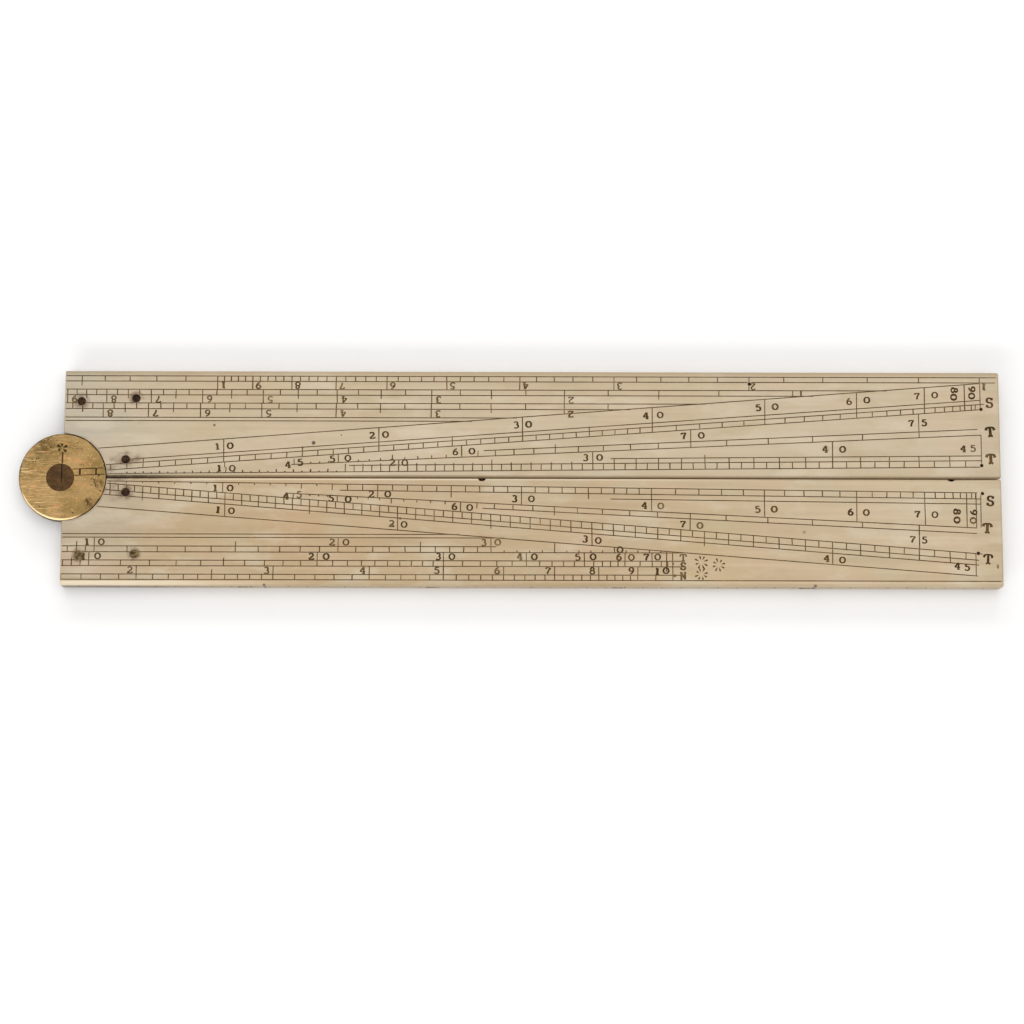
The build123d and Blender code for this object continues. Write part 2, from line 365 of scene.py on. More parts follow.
def upper_front():
    """The upper leg's lines: log lines along the outer edge, and three that fan out from the joint."""
    m = Marks(11, leg_places(upper_leaf_pins, upper_wear_pins))
    border = UPPER_LINES["border"]
    for level, end in log_strip_ends(border, LEG_END).items():
        m.line((LEG_BEGIN, level), (min(end + 1.2, LEG_END), level))

    # Line of numbers, from 15 at the joint to 1 at the tip. Its 10 is marked 1 as well
    high, low = N_LADDER
    for number in steps(1, 10, 0.2):
        x = log_upper(log_number(number))
        x += 0.25 if x > 100 else 0
        whole = abs(number - round(number)) < 1e-6
        m.tick(x, high, FIGURES_END["N"] if whole and number > 1 else low)
    for number in range(1, 11):
        x = log_upper(log_number(number))
        label = "1" if number in (1, 10) else str(number)
        m.figure(label, x + 0.95, (low + FIGURES_END["N"]) / 2, upside_down=True, weight=0.85, faint=True)
    for number in range(11, 16):
        m.tick(log_upper(log_number(number)), high, low - (0.75 if number == 15 else 0))

    # Lines of sines and tangents, in quarter degrees
    for key, ladder, log_of, first in (("S", S_LADDER, log_sine, 1), ("T", T_LADDER, log_tangent, 1.75)):
        high, low = ladder
        for degrees in steps(first, 9, 0.25):
            x = log_upper(log_of(degrees))
            if x < 0.4:
                continue
            foot = low
            if degrees % 1 == 0:
                foot = FIGURES_END[key]
            elif degrees % 1 == 0.5:
                foot -= 0.55
            m.tick(x, high, max(foot, border.at(x)))
        for degrees in range(2, 10):
            x = log_upper(log_of(degrees))
            middle = (low + FIGURES_END[key]) / 2 - 0.05
            if x > 0:
                m.figure(str(degrees), x + 1.15, middle, upside_down=True, weight=0.85, faint=True)

    # Sines, the outermost of the sloping lines
    sine, steep, tangent = UPPER_LINES["sine"], UPPER_LINES["steep"], UPPER_LINES["tangent"]
    end_x = UPPER_RADIUS
    m.line((RIM * 0.975, sine.at(RIM)), (end_x, sine.at(end_x)))
    second, third = UPPER_SINE_RUNGS
    m.line((RIM * 0.96, sine.at(RIM) + second), (end_x + 0.6, sine.at(end_x) + second))
    m.ruled(sine, 11.4, end_x, third)
    m.ruled(border, 5.75, end_x)
    sine_ticks(m, sine, border)

    # Tangents from 45 to 75 degrees, on a radius a quarter as long
    start = end_x * STEEP
    m.line((start - 0.2, steep.at(start)), (end_x, steep.at(end_x)))
    m.line((68.4, steep.at(68.4) + STEEP_RUNG), (end_x - 0.6, steep.at(end_x) + STEEP_RUNG))
    steep_ticks(m, steep, sine, end_x * STEEP)

    # Tangents to 45 degrees
    for begin, lift in ((RIM, 0), (46.5, HALF_RUNG), (WHOLE_FROM, WHOLE_RUNG)):
        m.ruled(tangent, begin, end_x, lift)
    tangent_ticks(m, tangent, steep, end_x, first=4, ladder_from=17)
    m.tick(tangent_at(10, end_x) - 0.2, steep.at(26), sine.at(26))
    m.line((120.1, S_LADDER[0]), (120.1, S_LADDER[1] - 0.05), 0.3)

    # End bars, letters and the figures that run up the leg
    m.tick(end_x, sine.at(end_x), N_LADDER[1], LINE)
    m.tick(end_x, tangent.at(end_x), steep.at(end_x) - 0.1, LINE)
    for letter, y in (("S", 12.55), ("T", 7.8), ("T", 3.25)):
        m.figure(letter, end_x + 1.5, y, LETTER, weight=1.25 if letter == "S" else 1.4, dark=True)
    return m


def sine_ticks(m, base, roof):
    """Divisions of the upper leg's line of sines, whose ladder starts at the joint."""
    for degrees in [*range(3, 40), *range(40, 80, 2), 80, 82, 84]:
        x = sine_at(degrees, UPPER_RADIUS)
        low = base.at(x)
        if degrees % 10 == 0:
            high = roof.at(x)
        elif degrees % 5 == 0:
            high = low + 1.67
        else:
            high = low + UPPER_SINE_RUNGS[0]
        m.tick(x - (0.25 if degrees == 80 else 0), low, high)
    for degrees in range(10, 80, 10):
        x = sine_at(degrees, UPPER_RADIUS)
        middle = (base.at(x) + UPPER_SINE_RUNGS[1] + roof.at(x)) / 2
        after = (1.0, 1.1) if degrees < 40 else (1.3, 1.75)
        m.parted(str(degrees), x, middle, base.slope, (0.95, 1.3), after)
    for x, text in ((145.2, "80"), (148.0, "90")):
        m.stacked(text, x, (base.at(x) + UPPER_SINE_RUNGS[1] + roof.at(x)) / 2, 1.15)


def steep_ticks(m, base, roof, radius):
    """Divisions of the tangents from 45 degrees: dots, then short spikes, then a ladder from 60."""
    for degrees in range(45, 61):
        x = tangent_at(degrees, radius)
        low = base.at(x)
        if 45 < degrees < 50:
            m.dot(x + drift(x), low + 0.22, 0.13)
            continue
        if degrees in (45, 50, 60):
            reach = roof.at(x) - low if degrees > 45 else 0.95
        elif degrees == 55:
            reach = 0.9
        else:
            reach = 0.12 + 0.03 * (degrees - 45)
        m.tick(x, low, low + reach)
    for degrees in range(61, 76):
        x = tangent_at(degrees, radius) - (0.3 if 68 < degrees < 72 else 0)
        low = base.at(x)
        if degrees in (70, 75):
            high = roof.at(x)
        else:
            high = low + STEEP_RUNG + (0.5 if degrees == 65 else 0)
        m.tick(x, low, high)
    for degrees in (45, 50, 60, 70, 75):
        x = tangent_at(degrees, radius) - (0.3 if degrees == 70 else 0)
        low = base.at(x) + (STEEP_RUNG if degrees > 60 else 0)
        middle = (low + roof.at(x)) / 2 - (0.25 if degrees == 45 else 0)
        after = (0.8, 1.0) if degrees % 10 == 5 else (1.5, 1.8)
        sunk = 0.35 if degrees == 45 else 0
        m.parted(str(degrees), x, middle, base.slope, right=after, sunk=sunk)


def tangent_ticks(m, base, roof, radius, first, ladder_from):
    """Divisions of the tangents to 45 degrees, in half degrees: spikes at first, then a ladder."""
    above = m.side > 0
    for degrees in steps(first, 44.5, 0.5):
        x = tangent_at(degrees, radius)
        low = base.at(x)
        whole = abs(degrees - round(degrees)) < 1e-6
        if whole and round(degrees) % 10 == 0:
            high = roof.at(x)
        elif degrees < ladder_from:
            m.tick(x, low, low + (0.2 + 0.02 * degrees if whole else 0.2), 0.22)
            continue
        elif whole:
            high = low + (WHOLE_RUNG if x > WHOLE_FROM or ladder_from < 5 else HALF_RUNG + 0.25)
            high += 0.5 if round(degrees) % 5 == 0 else 0
        else:
            high = low + HALF_RUNG
        m.tick(x, low, high)
    for degrees in (10, 20, 30, 40):
        x = tangent_at(degrees, radius)
        inside = WHOLE_RUNG if x > WHOLE_FROM or ladder_from < 5 else (0 if degrees == 10 else HALF_RUNG)
        middle = (base.at(x) + inside + roof.at(x)) / 2 + (0.3 if degrees == 10 and above else 0)
        after = (1.45, 1.7) if degrees == 40 else (1.0, 1.2)
        worn = degrees == 20 or (degrees == 40 and above)
        m.parted(str(degrees), x, middle, base.slope, right=after, faint=worn)
    x = radius - (2.1 if above else 3.2)
    middle = (base.at(x) + WHOLE_RUNG + roof.at(x)) / 2 - 0.45
    m.parted("45", x, middle, base.slope, (0.75, 0.85), (0.7, 0.8))


def lower_front():
    """The lower leg's lines, the same as the upper leg's but with the fan in reverse order."""
    m = Marks(23, leg_places(lower_leaf_pins, lower_wear_pins), side=-1)
    border = LOWER_LINES["border"]
    ends = log_strip_ends(border, LOG_END + 1.5)
    ends[N_LADDER[0]] = LEG_END
    ends[T_LADDER[1]] = log_lower(log_tangent(30)) + 0.9
    for level, end in ends.items():
        m.line((LEG_BEGIN, level), (end + (1.0 if level < 10 else 0), level))

    # Line of numbers, from 16 at the joint to 100, which is marked 10
    high, low = N_LADDER
    for number in [*range(16, 30), *range(30, 91, 2), 95]:
        x = log_lower(log_number(number))
        foot = FIGURES_END["N"] if number % 10 == 0 else low - (0.8 if number == 25 else 0)
        m.tick(x, high, foot)
    for number in range(2, 10):
        x = log_lower(log_number(number * 10))
        m.figure(str(number), x - 1.05, (low + FIGURES_END["N"]) / 2, weight=0.88, faint=number < 6)
    m.figure("1", LOG_END - 2.5, (low + FIGURES_END["N"]) / 2)
    m.figure("0", LOG_END - 1.1, (low + FIGURES_END["N"]) / 2 - 0.1)

    # Sines
    high, low = S_LADDER
    for degrees in [9.25, 9.5, 9.75, *range(10, 30), *range(30, 60, 2), 60, 65, 70, 75, 80]:
        x = log_lower(log_sine(degrees))
        if degrees in range(10, 71, 10):
            foot = FIGURES_END["S"]
        else:
            foot = low - (0.35 if degrees in (9.5, 15) else 0)
        m.tick(x, high, foot)
    for degrees in range(10, 71, 10):
        x = log_lower(log_sine(degrees))
        after = (1.3, 1.5) if degrees < 60 else (0.9, 1.05)
        m.parted(str(degrees), x, (low + FIGURES_END["S"]) / 2, left=(0.8, 1.1), right=after)

    # Tangents: a ladder to 30 degrees, then spikes under the sloping border
    high, low = T_LADDER
    for degrees in [9.25, 9.5, 9.75, *range(10, 46)]:
        x = log_lower(log_tangent(degrees))
        roof = border.at(x)
        if degrees in (10, 20, 30, 35, 40):
            foot = max(FIGURES_END["T"], roof)
        elif degrees > 30:
            foot = high - 0.35
        else:
            foot = low - (0.75 if degrees in (9.5, 15, 25) else 0)
        m.tick(x, high, max(foot, roof))
    for degrees in (10, 20, 30):
        x = log_lower(log_tangent(degrees))
        m.parted(str(degrees), x, (low + max(FIGURES_END["T"], border.at(x))) / 2)
    m.figure("0", log_lower(log_tangent(40)) + 0.9, T_LADDER[1] + 0.45)

    # The end of the log block: a bar, the lines' letters and three flower punches
    m.tick(LOG_END - 1.0, N_LADDER[1] - 0.6, border.at(LOG_END) + 0.1, LINE)
    m.tick(LOG_END, N_LADDER[0], border.at(LOG_END) + 0.1)
    for letter, y in (("T", 13.0), ("S", 14.4), ("N", 16.0)):
        m.figure(letter, LOG_END + 1.7, y, 1.2, faint=True)
    m.dot(LOG_END - 0.1, 14.0, 0.15)
    m.dot(LOG_END + 0.1, 15.95, 0.24)
    for x, y in ((103.6, 13.75), (103.6, 15.7), (106.4, 14.2)):
        m.petals(x, y, 0.35, 1.1, 8, 0.3, start=0.3)

    # Sines, innermost
    sine, steep, tangent = LOWER_LINES["sine"], LOWER_LINES["steep"], LOWER_LINES["tangent"]
    end_x = LOWER_RADIUS
    m.line((RIM, sine.at(RIM)), (end_x - 0.6, sine.at(end_x)))
    second, third = LOWER_SINE_RUNGS
    m.ruled(sine, 45, end_x, second)
    m.ruled(sine, WHOLE_FROM, end_x, third)
    for degrees in [*range(3, 40), *range(40, 80, 2), 80, 82, 84]:
        x = sine_at(degrees, end_x)
        low = sine.at(x)
        if degrees == 10:
            reach = tangent.at(x) - low
        elif degrees % 10 == 0:
            reach = steep.at(x) - low
        elif degrees < 17:
            reach = 0.85 if degrees == 15 else 0.2 + 0.012 * degrees
        elif degrees % 5 == 0:
            reach = 1.9
        else:
            reach = second
        m.tick(x, low, low + reach)
    for degrees in range(10, 80, 10):
        x = sine_at(degrees, end_x)
        roof = tangent.at(x) if degrees == 10 else steep.at(x)
        inside = third if x > WHOLE_FROM else (0.1 if degrees == 10 else second)
        after = (1.1, 1.3) if degrees == 10 else (1.45, 1.7)
        m.parted(str(degrees), x, (sine.at(x) + inside + roof) / 2, sine.slope, (1.0, 1.35), after)
    for x, text in ((145.2, "80"), (147.8, "90")):
        m.stacked(text, x, (sine.at(x) + third + steep.at(x)) / 2 + 0.1, 1.35)

    # Tangents from 45 to 75 degrees
    start = end_x * STEEP
    m.line((start - 0.9, steep.at(start)), (end_x - 0.8, steep.at(end_x)))
    m.line((68.2, steep.at(68.2) + 0.9), (end_x - 0.8, steep.at(end_x) + 0.9))
    steep_ticks(m, steep, tangent, end_x * STEEP)

    # Tangents to 45 degrees, outermost
    for share, lift, shorter in ((0.975, 0, 0), (0.95, HALF_RUNG, 0.6), (0.925, WHOLE_RUNG, 0.6)):
        m.ruled(tangent, RIM * share, end_x - shorter, lift)
    m.ruled(border, 5.75, end_x - 0.8)
    tangent_ticks(m, tangent, border, end_x, first=3, ladder_from=0)

    # End bars and letters
    m.tick(end_x - 0.75, sine.at(end_x), steep.at(end_x) - 0.1, LINE)
    m.tick(end_x, sine.at(end_x), steep.at(end_x) - 0.1, LINE)
    m.tick(end_x - 1.0, tangent.at(end_x), border.at(end_x), LINE)
    for letter, x, y in (("S", 150.6, 3.65), ("T", 150.0, 8.05), ("T", 150.0, 13.15)):
        m.figure(letter, x, y, LETTER, weight=1.25 if letter == "S" else 1.35, dark=True)
    return m


# ---- cutting marks into a flat face

def flat_faces(bm, normal):
    """The faces of the outermost plane that faces along normal."""
    facing = [f for f in bm.faces if f.normal.dot(normal) > 0.9999]
    height = max(f.calc_center_median().dot(normal) for f in facing)
    return height, [f for f in facing if abs(f.calc_center_median().dot(normal) - height) < 0.02 * MM]


def edge_loops(edges):
    """Closed chains of vertices along the given edges."""
    neighbours = {}
    for edge in edges:
        for here, there in (edge.verts, reversed(edge.verts)):
            neighbours.setdefault(here, []).append(there)
    loops = []
    left = set(neighbours)
    while left:
        start = left.pop()
        loop, here, before = [start], start, None
        while True:
            onward = [v for v in neighbours[here] if v is not before]
            before, here = here, onward[0]
            if here is start:
                break
            loop.append(here)
            left.discard(here)
        loops.append(loop)
    return loops


def engrave(bm, normal, across, marks):
    """Replaces one flat face of bm with the same face cut by marks. across is the direction of the marks' x.

    Every groove has a floor and walls, in the second material slot, or the third in figures and letters. The
    mesh stays closed."""
    up = normal.cross(across)
    bm.normal_update()
    height, faces = flat_faces(bm, normal)
    chosen = set(faces)
    border = {e for f in faces for e in f.edges if sum(g in chosen for g in e.link_faces) == 1}
    loops = edge_loops(border)
    bmesh.ops.delete(bm, geom=faces, context="FACES_ONLY")
    inner_edges = [e for e in bm.edges if not e.link_faces]
    bmesh.ops.delete(bm, geom=inner_edges, context="EDGES")

    points, rim_verts, outlines = [], [], []
    for loop in loops:
        flat = [(v.co.dot(across) / MM, v.co.dot(up) / MM) for v in loop]
        if signed_area(flat) < 0:
            loop, flat = loop[::-1], flat[::-1]
        outlines.append(list(range(len(points), len(points) + len(flat))))
        points += flat
        rim_verts += loop
    outer = max(range(len(loops)), key=lambda i: abs(signed_area([points[j] for j in outlines[i]])))
    holes = set(range(len(loops))) - {outer}
    for shape in marks.shapes:
        outlines.append(list(range(len(points), len(points) + len(shape))))
        points += shape

    flat_points = [Vector(p) for p in points]
    found, _, triangles, from_points, _, from_outlines = delaunay_2d_cdt(flat_points, [], outlines, 0, 1e-5)

    cut, plain = [], []
    in_figures = {len(loops) + i for i in marks.figures}
    for triangle, sources in zip(triangles, from_outlines):
        if outer not in sources or holes.intersection(sources):
            continue
        if any(s >= len(loops) for s in sources):
            cut.append((triangle, 2 if in_figures.intersection(sources) else 1))
        else:
            plain.append(triangle)

    def place(point, sunk):
        return (across * (point.x * MM)) + (up * (point.y * MM)) + normal * (height - sunk * MM)

    rim = {i: rim_verts[s] for i, sources in enumerate(from_points) for s in sources if s < len(rim_verts)}
    tops, floors = {}, {}

    def top(i):
        if i not in tops:
            tops[i] = rim[i] if i in rim else bm.verts.new(place(found[i], 0))
        return tops[i]

    def floor(i):
        if i not in floors:
            floors[i] = bm.verts.new(place(found[i], GROOVE_DEPTH))
        return floors[i]

    sides = {}
    for triangle, ink_slot in cut:
        bm.faces.new([floor(i) for i in triangle]).material_index = ink_slot
        for a, b in zip(triangle, triangle[1:] + triangle[:1]):
            sides[(a, b)] = ink_slot
    for triangle in plain:
        bm.faces.new([top(i) for i in triangle]).smooth = True
    for (a, b), ink_slot in sides.items():
        if (b, a) not in sides:
            bm.faces.new([top(b), top(a), floor(a), floor(b)]).material_index = ink_slot


def settle_normals(mesh):
    """Keeps flat faces flat in the light right up to their rounded edges."""
    mesh.set_sharp_from_angle(angle=SHARP)
    normals = [corner.vector.copy() for corner in mesh.corner_normals]
    flats = [Vector(n) for n in ((1, 0, 0), (-1, 0, 0), (0, 1, 0), (0, -1, 0), (0, 0, 1), (0, 0, -1))]
    bordering = {}
    for polygon in mesh.polygons:
        for flat in flats:
            if polygon.normal.dot(flat) > 0.9999:
                for vertex in polygon.vertices:
                    bordering.setdefault(vertex, set()).add(flat.freeze())
    for polygon in mesh.polygons:
        for corner in polygon.loop_indices:
            for flat in bordering.get(mesh.loops[corner].vertex_index, ()):
                if polygon.normal.dot(flat) > math.cos(SHARP):
                    normals[corner] = flat
    mesh.normals_split_custom_set(normals)


def engraved(node, body, finishes, cuts):
    """Stands for a CAD node: the node's own mesh, with marks cut into its flat faces."""
    bm = bmesh.new()
    bm.from_mesh(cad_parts[node].data)
    bmesh.ops.remove_doubles(bm, verts=bm.verts, dist=0.0005 * MM)
    for face in bm.faces:
        face.material_index = 0
        face.smooth = True
    for normal, across, marks in cuts:
        engrave(bm, normal, across, marks)
    mesh = bpy.data.meshes.new(f"{node}_engraved")
    for finish in finishes:
        mesh.materials.append(finish)
    bm.to_mesh(mesh)
    bm.free()
    settle_normals(mesh)
    piece = bpy.data.objects.new(f"{node}_engraved", mesh)
    bpy.context.scene.collection.objects.link(piece)
    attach(piece, body)
    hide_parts(node)


# ---- the back face, the edges and the joint

def back_face(seed, side):
    """Equal parts, chords and polygons from the joint, and a rule in inches and tenths along the outer edge.

    side is +1 where the leg lies above the joint line as the back is read, -1 where it lies below."""
    pins = [(x, -y) for x, y in (lower_leaf_pins if side > 0 else upper_leaf_pins)]
    m = Marks(seed, leg_places(pins, []), side)
    parts, chords, polygons = Slant(0.5, 0.0305), Slant(0.62, 0.0755), Slant(0.7, 0.051)
    end_x = UPPER_RADIUS

    for base, rung, second, third in ((parts, 0.95, 40, 80), (chords, 1.0, 16, 24)):
        for offset, begin in ((0, 8), (rung, second), (1.8, third)):
            m.ruled(base, begin, end_x, offset)
    for part in range(6, 201):
        x = end_x * part / 200
        low = parts.at(x)
        reach = 2.4 if part % 20 == 0 else (1.8 if part % 10 == 0 else 0.95)
        m.tick(x, low, low + (reach if x > 40 else reach * 0.4))
    for part in range(1, 10):
        x = end_x * part / 10
        m.figure(str(part), x - 0.75, parts.at(x) + 2.75, slope=parts.slope)
    for degrees in range(3, 61):
        x = 2 * end_x * math.sin(math.radians(degrees / 2))
        low = chords.at(x)
        reach = 3.3 if degrees % 10 == 0 else (2.2 if degrees % 5 == 0 else 1.0)
        m.tick(x, low, low + (reach if x > 16 else 0.5))
    for degrees in range(10, 60, 10):
        x = 2 * end_x * math.sin(math.radians(degrees / 2))
        m.parted(str(degrees), x, chords.at(x) + 2.6, slope=chords.slope)
    m.ruled(polygons, 58, end_x)
    for corners in range(6, 13):
        x = end_x * math.sin(math.pi / corners) / math.sin(math.pi / 6)
        m.tick(x, polygons.at(x), polygons.at(x) + 0.9)
        before = 1.0 + 0.35 * (corners > 9)
        m.figure(str(corners), x - before, polygons.at(x) + 0.85, slope=polygons.slope)
    for text, base, lift in (("L", parts, 1.1), ("C", chords, 1.2), ("P", polygons, 0.1)):
        m.figure(text, end_x + 1.5, base.at(end_x) + lift, LETTER)

    # The rule in inches: the two legs make one foot when the joint is straight
    edge, tenths, halves, inches = INCH_LEVELS
    for level in (edge, tenths, inches):
        m.line((LEG_BEGIN, level), (LEG_END, level))
    for tenth in range(1, 60):
        x = LEG_LENGTH * tenth / 60
        m.tick(x, edge, inches if tenth % 10 == 0 else (halves if tenth % 5 == 0 else tenths))
    for inch in range(1, 6):
        x = LEG_LENGTH * inch / 6
        label = inch if side > 0 else 12 - inch
        before = 1.0 + 0.35 * (label > 9)
        m.figure(str(label), x - before, halves, upside_down=side < 0)
    return m


def edge_scale(seed, side):
    """Half a foot in fifty parts, along a leg's outer edge. side is -1 where x runs from tip to joint."""
    m = Marks(seed)
    m.line((side * (LEG_BEGIN + 0.5), 2.55), (side * (LEG_END - 0.5), 2.55))
    for part in range(1, 50):
        x = side * LEG_LENGTH * part / 50
        reach = 1.25 if part % 10 == 0 else (0.95 if part % 5 == 0 else 0.6)
        m.tick(x, 2.55, 2.55 - reach)
        if part % 10 == 0:
            label = part if side > 0 else 100 - part
            m.figure(str(label), x - 1.3, 1.55, 0.95)
    return m


def scratches(m, count, outer, lengths, tilt, clear):
    """Fine scratches along the leg, on a disc from near its pin out to outer, and clear of its middle."""
    for _ in range(count):
        turn, reach = m.hand.uniform(0, 2 * math.pi), m.hand.uniform(PIN_HEAD + 0.6, outer)
        x, y, length = reach * math.cos(turn), reach * math.sin(turn), m.hand.uniform(*lengths)
        if abs(x) > clear:
            m.line((x - length / 2, y), (x + length / 2, y + m.waver(tilt)), 0.035)


def cheek_marks():
    """The disc: a ladder of the leg's lines runs on over it, with a setting line, a fleuron and old marks."""
    m = Marks(5, keep_out=[(*FRONT_HEAD, PIN_HEAD + 0.06)])
    sine = Slant(0.16, 0.041)
    rim = DISC - 0.18
    m.line((1.2, sine.at(1.2)), (rim * 0.985, sine.at(rim)), 0.14)
    m.line((1.5, sine.at(1.5) + 1.05), (rim * 0.965, sine.at(rim) + 1.05), 0.14)
    for x in (2.9, 5.5):
        m.tick(x, sine.at(x), sine.at(x) + 1.1, 0.28)
    m.line((-0.12, 0.5), (-0.04, 4.1), 0.24)
    petals = ((95, 0.8, 0.45), (150, 1.0, 0.55), (210, 0.8, 0.45), (25, 0.95, 0.55), (318, 0.95, 0.5))
    for turn, reach, width in petals:
        m.petal(-0.15, 4.75, 0.1, reach, width, math.radians(turn))
    for along, lift in ((1.1, 0.2), (1.5, -0.1), (1.8, 0.25), (2.2, 0.0)):
        m.line((along, 4.7 + lift), (along + 0.25, 4.75 + lift), 0.07)
    for x, y, size in ((5.9, 0.25, 0.17), (4.7, -0.35, 0.12), (6.2, -2.3, 0.13), (-5.6, -2.2, 0.1),
                       (-3.6, -4.9, 0.12), (1.8, -5.9, 0.13), (3.1, 4.6, 0.1), (2.3, 5.6, 0.11)):
        m.dot(x, y, size, sides=5)
    for _ in range(26):
        turn, reach = math.radians(m.hand.uniform(100, 160)), m.hand.uniform(4.9, rim - 0.2)
        m.dot(reach * math.cos(turn), reach * math.sin(turn), m.hand.uniform(0.05, 0.15), sides=5)
    m.pen([(4.9, -0.2), (5.25, -0.5), (5.15, -0.9), (5.5, -1.2), (5.35, -1.6)], lambda dx, dy: 0.12)
    m.pen([(3.9, -3.6), (4.3, -4.1), (4.2, -4.6)], lambda dx, dy: 0.16)
    scratches(m, 26, rim - 1.1, (0.3, 1.0), 0.06, 0.6)
    return m


def back_cheek_marks():
    m = Marks(6, keep_out=[(0, 0, PIN_HEAD + 0.06)])
    scratches(m, 40, DISC - 1.3, (0.4, 1.3), 0.25, 0)
    return m


def pin_marks():
    m = Marks(7)
    m.line((-0.16, -1.0), (-0.12, PIN_HEAD - 0.25), 0.2)
    for y in (-1.5, -1.1, -0.7, -0.25, 0.15, 0.5, 0.95, 1.4):
        start = FRONT_HEAD[0] - m.hand.uniform(0.6, 0.9) * math.sqrt((PIN_HEAD - 0.15) ** 2 - y * y)
        m.line((start, y), (start + m.hand.uniform(0.5, 1.3), y + m.waver(0.05)), 0.04)
    return m


# ---- materials

def srgb(red, green, blue):
    """A colour from its display values, 0 to 255."""
    shares = [c / 255 for c in (red, green, blue)]
    return (*(c / 12.92 if c <= 10 / 255 else ((c + 0.055) / 1.055) ** 2.4 for c in shares), 1)


class Finish:
    """One procedural material, in millimetres of the shared frame."""

    def __init__(self, name, metallic=0.0, roughness=0.4):
        self.material = bpy.data.materials.new(name)
        self.material.use_nodes = True
        self.tree = self.material.node_tree
        self.shader = self.tree.nodes["Principled BSDF"]
        self.shader.inputs["Metallic"].default_value = metallic
        self.shader.inputs["Roughness"].default_value = roughness
        place = self.node("ShaderNodeTexCoord").outputs["Object"]
        self.place = self.vector("SCALE", place, scale=1 / MM)
        parts = self.node("ShaderNodeSeparateXYZ", {"Vector": self.place})
        self.x, self.y, self.z = parts.outputs

    def node(self, kind, inputs=None, **settings):
        node = self.tree.nodes.new(kind)
        for key, value in settings.items():
            setattr(node, key, value)
        for key, value in (inputs or {}).items():
            self.feed(node.inputs[key], value)
        return node

    def feed(self, socket, value):
        if isinstance(value, bpy.types.NodeSocket):
            self.tree.links.new(value, socket)
        else:
            socket.default_value = value

    def vector(self, operation, a, b=None, scale=None):
        node = self.node("ShaderNodeVectorMath", operation=operation)
        self.feed(node.inputs[0], a)
        if b is not None:
            self.feed(node.inputs[1], b)
        if scale is not None:
            node.inputs["Scale"].default_value = scale
        return node.outputs["Value" if operation == "LENGTH" else "Vector"]

    def maths(self, operation, a, b=0.0):
        return self.node("ShaderNodeMath", {0: a, 1: b}, operation=operation).outputs[0]

    def noise(self, pitch, detail=3.0, rough=0.55, shift=0.0):
        """Noise whose grains are about pitch millimetres apart along each axis."""
        at = self.vector("MULTIPLY", self.place, [1 / p for p in pitch])
        at = self.vector("ADD", at, (shift, shift * 0.7, shift * 1.3))
        settings = {"Vector": at, "Scale": 1.0, "Detail": detail, "Roughness": rough}
        return self.node("ShaderNodeTexNoise", settings).outputs[0]

    def ramp(self, value, low, high):
        """0 up to low, 1 from high on. high can be the lesser of the two."""
        return self.node("ShaderNodeMapRange", {"Value": value, "From Min": low, "From Max": high},
                         interpolation_type="SMOOTHSTEP").outputs[0]

    def mix(self, mask, below, above):
        node = self.node("ShaderNodeMix", data_type="RGBA")
        self.feed(node.inputs["Factor"], mask)
        colours = [s for s in node.inputs if s.type == "RGBA"]
        self.feed(colours[0], below)
        self.feed(colours[1], above)
        return next(s for s in node.outputs if s.type == "RGBA")

    def times(self, a, b):
        return self.maths("MULTIPLY", a, b)

    def tint(self, colour, shade, amount, mask):
        """colour, with amount of the display colour shade laid over it where mask is 1."""
        return self.mix(self.times(mask, amount), colour, srgb(*shade))

    def clouds(self, pitch, low, high, detail=3, rough=0.55, shift=0.0):
        """Soft-edged patches: none where the noise is below low, full where it is above high."""
        return self.ramp(self.noise(pitch, detail, rough, shift), low, high)

    def near(self, x, y, inner, outer):
        """1 within inner millimetres of the upright line through (x, y), 0 beyond outer."""
        flat = self.vector("MULTIPLY", self.vector("SUBTRACT", self.place, (x, y, 0)), (1, 1, 0))
        return self.ramp(self.vector("LENGTH", flat), outer, inner)

    def specks(self, pitch, size, share, shift=0.0):
        """Scattered spots: one possible place every pitch millimetres, and a share of them used."""
        at = self.vector("ADD", self.vector("SCALE", self.place, scale=1 / pitch), (shift, shift, shift))
        node = self.node("ShaderNodeTexVoronoi", {"Vector": at, "Scale": 1.0})
        spot = self.ramp(node.outputs["Distance"], size / pitch, size / pitch * 0.45)
        chosen = self.node("ShaderNodeSeparateColor", {"Color": node.outputs["Color"]}).outputs[0]
        return self.times(spot, self.ramp(chosen, 1 - share, 1 - share + 0.02))

    def bump(self, height, depth, strength=1.0):
        """Raises the surface by height times depth, in millimetres, on top of the bumps so far."""
        node = self.node("ShaderNodeBump", {"Height": height, "Distance": depth * MM, "Strength": strength})
        before = self.shader.inputs["Normal"].links
        if before:
            self.tree.links.new(before[0].from_socket, node.inputs["Normal"])
        self.tree.links.new(node.outputs[0], self.shader.inputs["Normal"])

    def done(self, colour, roughness=None):
        self.feed(self.shader.inputs["Base Color"], colour)
        if roughness is not None:
            self.feed(self.shader.inputs["Roughness"], roughness)
        return self.material


